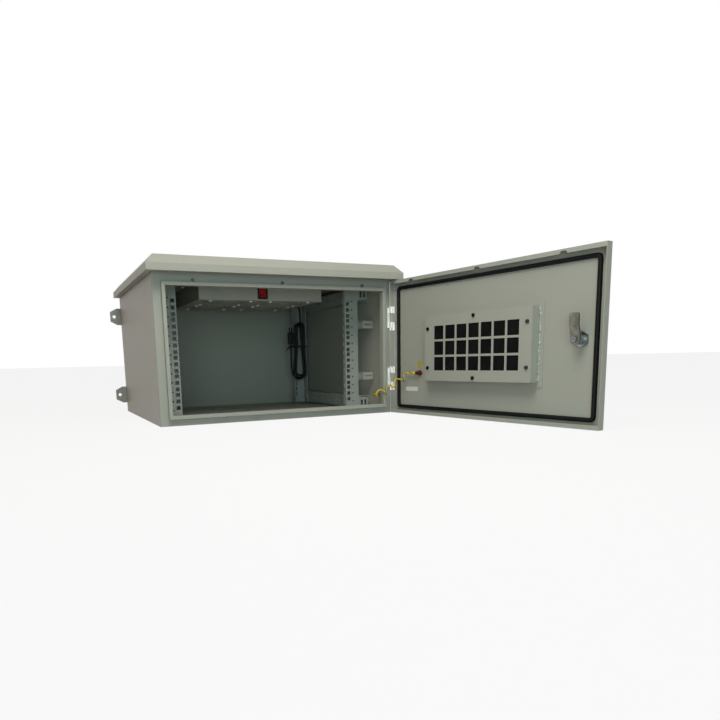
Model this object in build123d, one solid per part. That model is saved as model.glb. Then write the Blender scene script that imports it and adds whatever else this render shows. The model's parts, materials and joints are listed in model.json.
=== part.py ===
from build123d import *
import math
import os

# Body of folded and welded sheet
body_width = 595.0
body_depth = 560.0
body_height = 340.0
sheet = 1.5
bend_radius = 3.0
overrun = 2.0

# Door opening and the sealing lip round it
opening_side_margin = 27.0
opening_bottom = 23.5
opening_top_margin = 32.5
lip_width = 8.0
lip_forward = 11.0
lip_tail = 5.0
lip_round = 0.8
seal_flange = 10.0

# Roof cover on spacers, with vent holes under its eaves
roof_side_overhang = 16.0
roof_front_overhang = 39.0
roof_drop = 6.0
roof_skirt = 15.5
roof_rise = 20.0
roof_inset = 18.0
roof_return = 14.0
roof_rear_gap = 0.5
vent_radius = 5.0
vent_count = 13
vent_margin = 36.0
spacer_radius = 8.0
spacer_margin = 60.0

# Wall lugs bolted behind the rear corners
lug_reach = 29.5
lug_height = 48.0
lug_sheet = 3.0
lug_tip_height = 28.0
lug_chamfer = 19.0
lug_hole_radius = 4.5
lug_hole_inset = 11.0
lug_low_z = 50.0
lug_top_drop = 60.0
lug_bolt_pitch = 26.0

# Fasteners
screw_radius = 2.0
screw_head_radius = 4.0
screw_head_height = 2.4
screw_end = 4.0
recess_length = 4.8
recess_width = 1.2
recess_depth = 1.4
bolt_radius = 3.0
bolt_head_flats = 10.0
bolt_head_height = 4.0
bolt_end = 5.0
hole_clearance = 0.2
running_clearance = 0.05
frame_screw_inset = 85.5
frame_screw_shift = 4.0
frame_screw_rise = 4.5

# Rack rails
rail_hole_inset = 64.95
rack_unit = 44.45
rack_hole = 9.5
rack_hole_shares = (1 / 7, 1 / 2, 6 / 7)
rack_rise = 2.85
rail_edge = 8.55
rail_width = 39.0
rail_sheet = 2.0
rail_inner_return = 14.0
rail_outer_return = 28.0
rail_setback = 113.0
rear_rail_inset = 64.0
rail_floor_gap = 2.5
rail_top_gap = 4.5
rail_slot_width = 4.0
rail_slot_length = 10.0
rail_slot_count = 14

# Slotted depth rails on the side walls
depth_rail_height = 34.0
depth_rail_floor_gap = 4.0
depth_rail_top_gap = 10.5
depth_rail_end = 12.0
depth_slot_length = 18.0
depth_slot_intervals = 18
tab_wall_gap = 4.0
tab_relief = 1.5
tab_corner = 6.0
tab_slot_width = 5.0
tab_slot_length = 16.0
tab_slot_shares = (0.3, 0.7)
wall_leg = 20.0

# Lacing brackets on the front rails
lacing_height = 20.0
lacing_sheet = 1.5
lacing_forward = 29.0
lacing_overlap = 20.0
lacing_wall_gap = 3.0
lacing_low_z = 94.5
lacing_top_drop = 109.5
lacing_hole_radius = 2.2
lacing_hole_count = 4

# Fan tray hung from the ceiling
tray_width = 327.5
tray_depth = 300.0
tray_height = 46.3
tray_setback = 130.0
tray_sheet = 1.2
tray_flange = 12.0
tray_screws_a_side = 3
tray_screw_margin = 40.0

# Axial fans, their rotors and the punched grilles below them
fan_size = 119.0
fan_depth = 38.0
fan_flange = 4.0
fan_wall = 2.5
fan_corner = 6.0
fan_pitch_x = 159.0
fan_pitch_y = 148.0
fan_first = 69.7
fan_screw_pitch = 105.0
hub_radius = 22.5
hub_wall = 2.5
hub_plate = 3.0
hub_gap = 0.4
arm_width = 7.0
rotor_lift = 5.0
shaft_radius = 2.0
shaft_length = 18.0
blade_count = 5
blade_chord = 34.0
blade_sheet = 1.8
blade_pitch = 38.0
blade_tip_gap = 1.5
grille_ring_count = 5
grille_first_ring = 10.0
grille_ring_pitch = 10.5
grille_slot = 6.0
grille_spoke = 4.0
grille_spoke_turns = (22.5, 67.5, 112.5, 157.5)

# Rocker switch in the tray's front
switch_width = 26.5
switch_height = 32.0
switch_bezel = 2.0
switch_rise = 3.3
switch_body_width = 22.4
switch_body_height = 29.0
switch_body_depth = 20.0
rocker_width = 18.0
rocker_height = 25.8
rocker_gap = 0.4
rocker_rise = 4.0
rocker_dip = 1.6
rocker_back = 3.0
rocker_pocket_depth = 10.0
rocker_pivot_depth = 1.5
rocker_pin_radius = 1.5
rocker_pin_length = 1.2
rocker_tilt = 8.0

# Power cord of the fan tray, folded into a hank
cord_radius = 2.75
arc_share = 0.45
lead_shares = (
    (0.0, 0.0, 0.0),
    (0.286, 0.0, 0.0),
    (0.557, 0.079, 0.058),
    (0.784, 0.2, 0.149),
    (0.933, 0.367, 0.283),
    (1.005, 0.551, 0.44),
    (1.023, 0.731, 0.61),
    (1.012, 0.892, 0.793),
    (1.0, 1.0, 1.0),
)
lead_drop = 8.0
grommet_setback = 280.0
grommet_drop = 26.0
grommet_radius = 8.0
grommet_tip_radius = 5.0
grommet_length = 14.0
grommet_head = 3.0
hank_width = 40.0
hank_height = 182.0
hank_thickness = 24.0
hank_round = 5.0
hank_rail_lap = 7.0
hank_drop = 77.5
hank_rail_gap = 0.5
lead_inset = 4.0
lead_setback = 5.0
plug_width = 16.0
plug_height = 38.0
plug_depth = 15.0
plug_round = 3.0
plug_rise = 6.0
pin_radius = 2.0
pin_length = 15.0
pin_spread = 8.0
tie_drop = 77.0
tie_height = 4.6
tie_sheet = 1.4
tie_tail = 30.0
tie_tail_drop = 12.0

# Door, modelled shut and then swung open about its hinge pins
door_gap = 3.0
door_depth = 16.5
door_reveal = 1.75
door_bottom = 1.5
door_roof_gap = 2.0
door_return = 8.5
door_open_angle = 98.4
notch_width = 11.0
notch_mouth = 20.0
notch_depth = 5.0
gasket_overlap = 1.5
gasket_width = 8.5
gasket_lip_gap = 0.5
gasket_round = 4.0
gasket_outer_corner = 11.0
gasket_inner_corner = 3.0

# Hinges
hinge_inset = 1.1
hinge_forward = 10.0
hinge_spacing = 151.0
hinge_height = 50.0
hinge_sheet = 2.5
hinge_leaf_width = 8.0
ear_height = 13.5
ear_radius = 4.2
knuckle_radius = 4.0
knuckle_gap = 0.3
hinge_pin_radius = 2.0
hinge_pin_tail = 5.5
hinge_pin_head_radius = 3.0
hinge_pin_head = 1.5
hinge_cut_gap = 1.0
leaf_reach = 13.0
leaf_sheet = 2.5

# Filter on the inside of the door
filter_width = 306.0
filter_shift = 2.5
filter_height = 150.0
filter_rise = 24.0
filter_drop = 6.25
filter_flange = 20.0
filter_foot = 10.0
filter_corner = 4.0
foam_gap = 1.0
window_columns = 7
window_rows = 3
window_size = 30.7
window_pitch = 35.5
filter_screw_x = 142.0
filter_screw_z = 45.0
filter_screw_end_z = 67.0
louvre_width = 100.0
louvre_gap = 20.0
louvre_rows = 6
louvre_pitch = 16.0
louvre_height = 6.5
louvre_sheet = 1.2
louvre_wall = 2.6

# Quarter-turn lock
lock_inset = 53.5
lock_radius = 9.8
lock_flange_radius = 14.0
lock_flange = 4.0
lock_nut_flats = 27.0
lock_nut_height = 5.0
lock_rotor_radius = 6.0
lock_wall_gap = 0.2
cam_width = 20.0
cam_reach = 48.0
cam_sheet = 3.0
cam_gap = 0.6
cam_crank = 5.0
cam_bend_low = 9.0
cam_bend_high = 25.0
cam_corner = 5.0

# Earth studs and the earth wire between door and body
stud_radius = 3.0
stud_nut_flats = 11.0
stud_nut_height = 5.0
stud_length = 12.0
door_stud_share = 0.2877
door_stud_z = 102.8
body_stud_setback = 42.0
body_stud_z = 45.0
terminal_width = 9.0
terminal_sheet = 1.5
terminal_barrel_radius = 2.8
terminal_reach = 20.0
terminal_barrel = 11.0
wire_radius = 2.0
wire_lead_in = 10.0
wire_shares = (
    (0.0, 0.0, 0.0),
    (0.062, 0.075, 0.0),
    (0.378, 0.148, 0.092),
    (0.772, 0.243, 0.247),
    (1.207, 0.354, 0.446),
    (1.643, 0.464, 0.628),
    (2.017, 0.574, 0.766),
    (2.203, 0.688, 0.862),
    (2.183, 0.806, 0.931),
    (1.954, 0.92, 0.979),
    (1.581, 1.0, 1.0),
    (1.0, 1.0, 1.0),
)
curl_radius = 11.0
curl_shares = wire_shares[2:9]

# Levels and edges shared by the pieces
half_width = body_width / 2
front_y = -body_depth / 2
rear_y = body_depth / 2
inner_x = half_width - sheet
ceiling_z = body_height - sheet
lip_inner_x = half_width - opening_side_margin
lip_outer_x = lip_inner_x + lip_width
lip_inner_low = opening_bottom
lip_inner_high = body_height - opening_top_margin
lip_outer_low = lip_inner_low - lip_width
lip_outer_high = lip_inner_high + lip_width
lip_front_y = front_y - lip_forward
screw_hole = screw_radius + hole_clearance
bolt_hole = bolt_radius + hole_clearance
frame_screw_z = lip_outer_high + frame_screw_rise
frame_screw_x = half_width - frame_screw_inset
frame_screw_xs = [frame_screw_shift + side * frame_screw_x for side in (-1, 0, 1)]

roof_low_z = body_height - roof_drop
roof_fold_z = roof_low_z + roof_skirt
roof_top_z = roof_fold_z + roof_rise
roof_half = half_width + roof_side_overhang
roof_front_y = front_y - roof_front_overhang
spacer_places = [
    (sx * (half_width - spacer_margin), sy * (rear_y - spacer_margin)) for sx in (-1, 1) for sy in (-1, 1)
]

lug_bolt_x = (lip_outer_x + half_width) / 2
lug_hole_x = half_width + lug_reach - lug_hole_inset
lug_levels = (lug_low_z, body_height - lug_top_drop)
lug_bolt_zs = [z + s * lug_bolt_pitch / 2 for z in lug_levels for s in (-1, 1)]

rail_hole_x = half_width - rail_hole_inset
rail_inner_x = rail_hole_x - rail_edge
rail_outer_x = rail_inner_x + rail_width
rail_y = front_y + rail_setback
rear_rail_y = rear_y - rear_rail_inset
rail_low_z = sheet + rail_floor_gap
rail_high_z = ceiling_z - rail_top_gap
rack_low_z = opening_bottom + rack_rise
rack_units = int((lip_inner_high - rack_low_z) // rack_unit)
rack_hole_zs = [rack_low_z + (u + share) * rack_unit for u in range(rack_units) for share in rack_hole_shares]
rail_bolt_y = rail_y + (rail_outer_return + rail_sheet) / 2
rear_bolt_y = rear_rail_y - (rail_outer_return + rail_sheet) / 2
depth_low_z = sheet + depth_rail_floor_gap
depth_high_z = ceiling_z - depth_rail_top_gap
depth_bolt_zs = (depth_low_z + depth_rail_height / 2, depth_high_z - depth_rail_height / 2)
depth_slot_pitch = (rear_bolt_y - rail_bolt_y) / depth_slot_intervals

tray_z = ceiling_z - tray_height
tray_front_y = front_y + tray_setback
tray_rear_y = tray_front_y + tray_depth
fan_z = tray_z + tray_sheet
duct_radius = fan_size / 2 - fan_wall
fan_places = [
    (sx * fan_pitch_x / 2, tray_front_y + fan_first + row * fan_pitch_y) for row in (0, 1) for sx in (-1, 1)
]
fan_screw_places = [
    (sx * fan_screw_pitch / 2, sy * fan_screw_pitch / 2) for sx in (-1, 1) for sy in (-1, 1)
]
tray_screw_x = tray_width / 2 + tray_flange / 2
tray_screw_step = (tray_depth - 2 * tray_screw_margin) / (tray_screws_a_side - 1)
tray_screw_ys = [tray_front_y + tray_screw_margin + i * tray_screw_step for i in range(tray_screws_a_side)]
switch_z = tray_z + switch_rise + switch_height / 2
grommet_y = tray_front_y + grommet_setback
grommet_z = ceiling_z - grommet_drop

door_half = half_width - door_reveal
door_lip_y = front_y - door_gap
door_skin_y = door_lip_y - door_depth + sheet
door_front_y = door_skin_y - sheet
door_top_z = roof_low_z - door_roof_gap
door_mid_z = (door_bottom + door_top_z) / 2
hinge_x = half_width - hinge_inset
hinge_y = front_y - hinge_forward
hinge_zs = (door_mid_z - hinge_spacing / 2, door_mid_z + hinge_spacing / 2)
door_swing = Pos(hinge_x, hinge_y, 0) * Rot(0, 0, door_open_angle) * Pos(-hinge_x, -hinge_y, 0)
lock_x = lock_inset - half_width
filter_edge_x = filter_shift + filter_width / 2 + filter_foot
gasket_inner_x = lip_outer_x + gasket_overlap - gasket_width
door_stud_x = filter_edge_x + door_stud_share * (gasket_inner_x - filter_edge_x)
filter_z = door_mid_z - filter_drop
filter_top_y = door_skin_y + filter_rise
plate_y = filter_top_y - sheet
filter_screw_xs = (filter_shift - filter_screw_x, filter_shift + filter_screw_x)
filter_screws = [(x, filter_z + sz * filter_screw_z) for x in filter_screw_xs for sz in (-1, 1)]
filter_screws += [(filter_shift, filter_z + sz * filter_screw_end_z) for sz in (-1, 1)]


def block(x0, x1, y0, y1, z0, z1):
    """A box from one corner to the other."""
    middle = Pos((x0 + x1) / 2, (y0 + y1) / 2, (z0 + z1) / 2)
    return middle * Box(x1 - x0, y1 - y0, z1 - z0)


def plate_xz(sketch, y0, y1):
    """A sketch drawn in x and z, made solid from y0 to y1."""
    place = Plane(origin=(0, y1, 0), x_dir=(1, 0, 0), z_dir=(0, -1, 0))
    return extrude(place * sketch, y1 - y0, dir=(0, -1, 0))


def plate_yz(sketch, x0, x1):
    """A sketch drawn in y and z, made solid from x0 to x1."""
    place = Plane(origin=(x0, 0, 0), x_dir=(0, 1, 0), z_dir=(1, 0, 0))
    return extrude(place * sketch, x1 - x0, dir=(1, 0, 0))


def plate_xy(sketch, z0, z1):
    """A sketch drawn in x and y, made solid from z0 to z1."""
    place = Plane(origin=(0, 0, z0), x_dir=(1, 0, 0), z_dir=(0, 0, 1))
    return extrude(place * sketch, z1 - z0, dir=(0, 0, 1))


def rod(radius, start, end):
    """A round bar from one point to another."""
    run = Vector(*end) - Vector(*start)
    return extrude(Plane(origin=start, z_dir=run) * Circle(radius), run.length)


def hex_bar(flats, start, end):
    """A hexagon bar from one point to another."""
    run = Vector(*end) - Vector(*start)
    outline = RegularPolygon(flats / 2, 6, major_radius=False)
    return extrude(Plane(origin=start, z_dir=run) * outline, run.length)


def along(point, direction, distance):
    """The point a distance away in a unit direction."""
    return tuple(p + distance * d for p, d in zip(point, direction))


def screw(seat, direction, length):
    """A cross-head screw with its head on the seat and its shank running in the direction."""
    head = rod(screw_head_radius, seat, along(seat, direction, -screw_head_height))
    cut_start = along(seat, direction, -screw_head_height - overrun)
    cross = Rectangle(recess_length, recess_width) + Rectangle(recess_width, recess_length)
    head -= extrude(Plane(origin=cut_start, z_dir=direction) * cross, recess_depth + overrun)
    return head + rod(screw_radius, seat, along(seat, direction, length))


def bolt(seat, direction, length):
    """A hexagon bolt with its head on the seat and its shank running in the direction."""
    head = hex_bar(bolt_head_flats, seat, along(seat, direction, -bolt_head_height))
    return head + rod(bolt_radius, seat, along(seat, direction, length))


def group(solids):
    """Separate solids kept together in one node."""
    return Compound([solid for piece in solids for solid in piece.solids()])


def ring_xz(outer, inner, y0, y1):
    """A rectangular ring; outer and inner are half width, low edge and high edge."""
    hole = block(-inner[0], inner[0], y0 - overrun, y1 + overrun, inner[1], inner[2])
    return block(-outer[0], outer[0], y0, y1, outer[1], outer[2]) - hole


def side_panel():
    """The right side, one sheet with its front and rear edges folded in."""
    panel = block(inner_x, half_width, front_y, rear_y, 0, body_height)
    panel += block(lip_outer_x, half_width, front_y, front_y + sheet, 0, body_height)
    panel += block(lip_outer_x, half_width, rear_y - sheet, rear_y, 0, body_height)
    panel = fillet(panel.edges().filter_by(Axis.Z).group_by(Axis.X)[-2], bend_radius - sheet)
    panel = fillet(panel.edges().filter_by(Axis.Z).group_by(Axis.X)[-1], bend_radius)
    for z in lug_bolt_zs:
        panel -= rod(bolt_hole, (lug_bolt_x, rear_y - sheet - overrun, z), (lug_bolt_x, rear_y + overrun, z))
    return panel


def rear_panel():
    """The flat rear sheet, lapped inside the rear folds of the sides."""
    edge = inner_x - bend_radius + sheet
    panel = block(-edge, edge, rear_y - 2 * sheet, rear_y - sheet, 0, body_height)
    for x in (-lug_bolt_x, lug_bolt_x):
        for z in lug_bolt_zs:
            panel -= rod(bolt_hole, (x, rear_y - 2 * sheet - overrun, z), (x, rear_y, z))
    return panel


def floor_panel():
    """The floor sheet with its front edge folded up to the lip."""
    panel = block(-inner_x, inner_x, front_y + bend_radius, rear_y - 2 * sheet, 0, sheet)
    panel += block(-lip_outer_x, lip_outer_x, front_y, front_y + bend_radius, 0, sheet)
    return panel + block(-lip_outer_x, lip_outer_x, front_y, front_y + sheet, 0, lip_outer_low)


def ceiling_panel():
    """The ceiling sheet, with round openings over the fans and its front edge folded down."""
    panel = block(-inner_x, inner_x, front_y + bend_radius, rear_y - 2 * sheet, ceiling_z, body_height)
    panel += block(-lip_outer_x, lip_outer_x, front_y, front_y + bend_radius, ceiling_z, body_height)
    panel += block(-lip_outer_x, lip_outer_x, front_y, front_y + sheet, lip_outer_high, body_height)
    for x in frame_screw_xs:
        start = (x, front_y - overrun, frame_screw_z)
        panel -= rod(screw_hole, start, (x, front_y + bend_radius, frame_screw_z))
    holes = [(x, y, duct_radius) for x, y in fan_places]
    holes += [(x, y, bolt_hole) for x, y in spacer_places]
    holes += [(sx * tray_screw_x, y, screw_hole) for sx in (-1, 1) for y in tray_screw_ys]
    for x, y, radius in holes:
        panel -= rod(radius, (x, y, ceiling_z - overrun), (x, y, body_height + overrun))
    return panel


def door_seal_frame():
    """The folded lip that stands forward round the opening and meets the door's gasket."""
    inner = (lip_inner_x, lip_inner_low, lip_inner_high)
    inner_back = (lip_inner_x + sheet, lip_inner_low - sheet, lip_inner_high + sheet)
    outer = (lip_outer_x, lip_outer_low, lip_outer_high)
    outer_in = (lip_outer_x - sheet, lip_outer_low + sheet, lip_outer_high - sheet)
    flange = (lip_outer_x + seal_flange, lip_outer_low - seal_flange, lip_outer_high + seal_flange)
    frame = ring_xz(outer, inner, lip_front_y, lip_front_y + sheet)
    frame = fillet(frame.faces().sort_by(Axis.Y)[0].edges(), lip_round)
    frame += ring_xz(inner_back, inner, lip_front_y + sheet, front_y + lip_tail)
    frame += ring_xz(outer, outer_in, lip_front_y + sheet, front_y + 2 * sheet)
    frame += ring_xz(flange, outer, front_y + sheet, front_y + 2 * sheet)
    for x in frame_screw_xs:
        end = (x, front_y + bend_radius + overrun, frame_screw_z)
        frame -= rod(screw_hole, (x, front_y, frame_screw_z), end)
    return frame


def roof_cover():
    """The roof, a shell with a sloping hip and edges folded under, with vent holes in the eaves."""
    middle_y = (roof_front_y + rear_y) / 2
    outline = Pos(0, middle_y) * Rectangle(2 * roof_half, rear_y - roof_front_y)
    slope = math.degrees(math.atan(roof_inset / roof_rise))
    hip = extrude(Pos(0, 0, roof_fold_z) * outline, roof_rise, taper=slope)
    roof = plate_xy(outline, roof_low_z, roof_fold_z) + hip
    roof = offset(roof, amount=-sheet, openings=roof.faces().sort_by(Axis.Z)[0])
    return_top = roof_low_z + sheet
    roof += block(-roof_half, roof_half, roof_front_y, roof_front_y + roof_return, roof_low_z, return_top)
    for side in (-1, 1):
        edges = sorted((side * roof_half, side * (roof_half - roof_return)))
        roof += block(edges[0], edges[1], roof_front_y, rear_y, roof_low_z, return_top)
    cut_z = (roof_low_z - overrun, body_height + roof_rear_gap)
    roof -= block(-half_width, half_width, rear_y - bend_radius, rear_y + overrun, *cut_z)
    vent_x = roof_half - (roof_return + sheet) / 2
    vent_pitch = (body_depth - 2 * vent_margin) / (vent_count - 1)
    for i in range(vent_count):
        y = front_y + vent_margin + i * vent_pitch
        for x in (-vent_x, vent_x):
            roof -= rod(vent_radius, (x, y, roof_low_z - overrun), (x, y, return_top + overrun))
    return roof


def roof_spacers():
    """Tubes that carry the roof above the ceiling."""
    tube = Circle(spacer_radius) - Circle(bolt_hole)
    return group([plate_xy(Pos(x, y) * tube, body_height, roof_top_z - sheet) for x, y in spacer_places])


def roof_bolts():
    """Bolts that come up through the ceiling into the spacers."""
    length = (roof_top_z - ceiling_z) - sheet - bolt_end
    return group([bolt((x, y, ceiling_z), (0, 0, 1), length) for x, y in spacer_places])


def wall_lug(side, z):
    """A flat lug with a chamfered tip, a wall bolt hole and two fixing holes."""
    tip = half_width + lug_reach
    root = lip_outer_x + bend_radius
    half = lug_height / 2
    half_tip = lug_tip_height / 2
    outline = [(root, -half), (tip - lug_chamfer, -half), (tip, -half_tip)]
    outline += [(x, -h) for x, h in reversed(outline)]
    lug = Polygon(*[(side * x, z + h) for x, h in outline], align=None)
    lug -= Pos(side * lug_hole_x, z) * Circle(lug_hole_radius)
    for s in (-1, 1):
        lug -= Pos(side * lug_bolt_x, z + s * lug_bolt_pitch / 2) * Circle(bolt_hole)
    return plate_xz(lug, rear_y, rear_y + lug_sheet)


def lug_bolts():
    """Bolts from inside the cabinet that hold the lugs."""
    length = lug_sheet + 2 * sheet
    seats = [(x, rear_y - 2 * sheet, z) for x in (-lug_bolt_x, lug_bolt_x) for z in lug_bolt_zs]
    return group([bolt(seat, (0, 1, 0), length) for seat in seats])


def frame_screws():
    """Screws that hold the seal frame to the fold above the door."""
    seats = [(x, front_y, frame_screw_z) for x in frame_screw_xs]
    return group([screw(seat, (0, 1, 0), 2 * sheet + screw_end) for seat in seats])


def front_rail():
    """The right front rack rail, a folded channel with square holes and slotted edges."""
    rail = block(rail_inner_x, rail_outer_x, rail_y, rail_y + rail_sheet, rail_low_z, rail_high_z)
    inner_edge = rail_inner_x + rail_sheet
    outer_edge = rail_outer_x - rail_sheet
    rail += block(rail_inner_x, inner_edge, rail_y, rail_y + rail_inner_return, rail_low_z, rail_high_z)
    rail += block(outer_edge, rail_outer_x, rail_y, rail_y + rail_outer_return, rail_low_z, rail_high_z)
    cuts = Sketch() + [Pos(rail_hole_x, z) * Rectangle(rack_hole, rack_hole) for z in rack_hole_zs]
    rail -= plate_xz(cuts, rail_y - overrun, rail_y + rail_sheet + overrun)
    slot = Rectangle(rail_slot_width, rail_slot_length)
    slot_pitch = (rail_high_z - rail_low_z) / (rail_slot_count + 1)
    slot_zs = [rail_low_z + (i + 1) * slot_pitch for i in range(rail_slot_count)]
    inner_y = rail_y + (rail_inner_return + rail_sheet) / 2
    slots = Sketch() + [Pos(inner_y, z) * slot for z in slot_zs]
    rail -= plate_yz(slots, rail_inner_x - overrun, inner_edge + overrun)
    clear_zs = [z for z in slot_zs if depth_bolt_zs[0] + slot_pitch < z < depth_bolt_zs[1] - slot_pitch]
    slots = Sketch() + [Pos(rail_bolt_y, z) * slot for z in clear_zs]
    rail -= plate_yz(slots, outer_edge - overrun, rail_outer_x + overrun)
    for z in depth_bolt_zs:
        start = (outer_edge - overrun, rail_bolt_y, z)
        rail -= rod(bolt_hole, start, (rail_outer_x + overrun, rail_bolt_y, z))
    return rail


def rear_copy(piece):
    """The same piece turned front to back for the rear rails."""
    return mirror(piece, about=Plane(origin=(0, (rail_y + rear_rail_y) / 2, 0), z_dir=(0, 1, 0)))


def left_copy(piece):
    """The same piece for the left side."""
    return mirror(piece, about=Plane.YZ)


def depth_rail():
    """The lower right depth rail: slotted web, flange to the wall and a slotted tab at the front."""
    web_out = rail_outer_x + rail_sheet
    top = depth_low_z + depth_rail_height
    end = rear_rail_y + depth_rail_end
    rail = block(rail_outer_x, web_out, rail_y, end, depth_low_z, top)
    rail += block(web_out, inner_x, rail_y + rail_sheet + tab_relief, end, top - rail_sheet, top)
    rail += block(inner_x - rail_sheet, inner_x, rail_y + rail_sheet + tab_relief, end, top - wall_leg, top)
    tab_out = inner_x - tab_wall_gap
    tab_top = top - rail_sheet - tab_relief
    tab = block(web_out, tab_out, rail_y, rail_y + rail_sheet, depth_low_z, tab_top)
    tab = fillet(tab.edges().filter_by(Axis.Y).group_by(Axis.X)[-1].sort_by(Axis.Z)[-1], tab_corner)
    tab_mid_z = (depth_low_z + tab_top) / 2
    for share in tab_slot_shares:
        slot = Rectangle(tab_slot_width, tab_slot_length)
        place = Pos(web_out + share * (tab_out - web_out), tab_mid_z)
        tab -= plate_xz(place * slot, rail_y - overrun, rail_y + rail_sheet + overrun)
    rail += tab
    slot = Rectangle(2 * bolt_hole, depth_slot_length)
    ys = [rail_bolt_y + i * depth_slot_pitch for i in range(depth_slot_intervals + 1)]
    slots = Sketch() + [Pos(y, depth_bolt_zs[0]) * slot for y in ys]
    return rail - plate_yz(slots, rail_outer_x - overrun, web_out + overrun)


def upper_copy(piece):
    """The lower depth rail turned over for the top of the wall."""
    return mirror(piece, about=Plane(origin=(0, 0, (depth_low_z + depth_high_z) / 2), z_dir=(0, 0, 1)))


def rail_bolt_places():
    """Where the rack rails are bolted to the depth rails, as side, y and z."""
    return [(side, y, z) for side in (-1, 1) for y in (rail_bolt_y, rear_bolt_y) for z in depth_bolt_zs]


def rail_bolts():
    """Bolts from inside the rack rails out through the depth rails."""
    seat_x = rail_outer_x - rail_sheet
    length = 2 * rail_sheet + bolt_head_height + bolt_radius
    return group([bolt((side * seat_x, y, z), (side, 0, 0), length) for side, y, z in rail_bolt_places()])


def rail_nuts():
    """Nuts on those bolts, against the outside of the depth rails."""
    start = rail_outer_x + rail_sheet
    nuts = []
    for side, y, z in rail_bolt_places():
        nut = hex_bar(bolt_head_flats, (side * start, y, z), (side * (start + bolt_head_height), y, z))
        bore_end = start + bolt_head_height + overrun
        nut -= rod(bolt_radius + running_clearance, (side * start, y, z), (side * bore_end, y, z))
        nuts.append(nut)
    return group(nuts)


def lacing_brackets():
    """Two cranked tabs on the right front rail, with holes for tying cables."""
    tip = inner_x - lacing_wall_gap
    front = rail_y - lacing_forward
    brackets = []
    for middle in (lacing_low_z, body_height - lacing_top_drop):
        low = middle - lacing_height / 2
        high = middle + lacing_height / 2
        leg_out = rail_outer_x + lacing_sheet
        bracket = block(rail_outer_x, leg_out, front, rail_y + lacing_overlap, low, high)
        bracket += block(leg_out, tip, front, front + lacing_sheet, low, high)
        for i in range(lacing_hole_count):
            x = leg_out + (i + 1) * (tip - leg_out) / (lacing_hole_count + 1)
            start = (x, front - overrun, middle)
            bracket -= rod(lacing_hole_radius, start, (x, front + lacing_sheet + overrun, middle))
        brackets.append(bracket)
    return group(brackets)


def fan_grille():
    """The slots below one fan: broken rings with straight bridges, and holes for its screws."""
    slots = Sketch()
    for i in range(grille_ring_count):
        radius = grille_first_ring + i * grille_ring_pitch
        slots += Circle(radius + grille_slot / 2) - Circle(radius - grille_slot / 2)
    for turn in grille_spoke_turns:
        slots -= Rot(0, 0, turn) * Rectangle(fan_size, grille_spoke)
    return slots + [Pos(x, y) * Circle(screw_hole) for x, y in fan_screw_places]


def fan_tray():
    """The folded tray under the ceiling, open above, with punched grilles and a switch cut-out."""
    half = tray_width / 2
    inside = half - tray_sheet
    tray = block(-half, half, tray_front_y, tray_rear_y, tray_z, ceiling_z)
    inside_y = (tray_front_y + tray_sheet, tray_rear_y - tray_sheet)
    tray -= block(-inside, inside, *inside_y, fan_z, ceiling_z + overrun)
    for side in (-1, 1):
        edges = sorted((side * half, side * (half + tray_flange)))
        tray += block(edges[0], edges[1], tray_front_y, tray_rear_y, ceiling_z - tray_sheet, ceiling_z)
    grille = plate_xy(fan_grille(), tray_z - overrun, fan_z + overrun)
    for x, y in fan_places:
        tray -= Pos(x, y, 0) * grille
    for x in (-tray_screw_x, tray_screw_x):
        for y in tray_screw_ys:
            tray -= rod(screw_hole, (x, y, ceiling_z - tray_sheet - overrun), (x, y, ceiling_z + overrun))
    switch_cut = Pos(0, switch_z) * Rectangle(switch_body_width, switch_body_height)
    tray -= plate_xz(switch_cut, tray_front_y - overrun, tray_front_y + tray_sheet + overrun)
    bore_ends = [(half - tray_sheet - overrun, grommet_y, grommet_z), (half + overrun, grommet_y, grommet_z)]
    return tray - rod(grommet_tip_radius, *bore_ends)


def tray_screws():
    """Screws that hang the tray from the ceiling."""
    seats = [(x, y, ceiling_z - tray_sheet) for x in (-tray_screw_x, tray_screw_x) for y in tray_screw_ys]
    return group([screw(seat, (0, 0, 1), tray_sheet + sheet + screw_end) for seat in seats])


def fan_frame():
    """A fan's frame: square flanges on a round duct, with arms that carry the motor."""
    flange = RectangleRounded(fan_size, fan_size, fan_corner) - Circle(duct_radius)
    flange -= [Pos(x, y) * Circle(screw_hole) for x, y in fan_screw_places]
    frame = plate_xy(flange, 0, fan_flange) + plate_xy(flange, fan_depth - fan_flange, fan_depth)
    frame += plate_xy(Circle(fan_size / 2) - Circle(duct_radius), 0, fan_depth)
    arms = Circle(hub_radius)
    for turn in (0, 90):
        arms += Rot(0, 0, turn) * Rectangle(2 * duct_radius + fan_wall, arm_width)
    frame += plate_xy(arms, fan_depth - hub_plate, fan_depth)
    stator_radius = hub_radius - hub_wall - hub_gap
    stator_low = rotor_lift + hub_wall + hub_gap
    frame += plate_xy(Circle(stator_radius), stator_low, fan_depth - hub_plate)
    return frame - rod(shaft_radius + running_clearance, (0, 0, 0), (0, 0, fan_depth - hub_plate))


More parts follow.
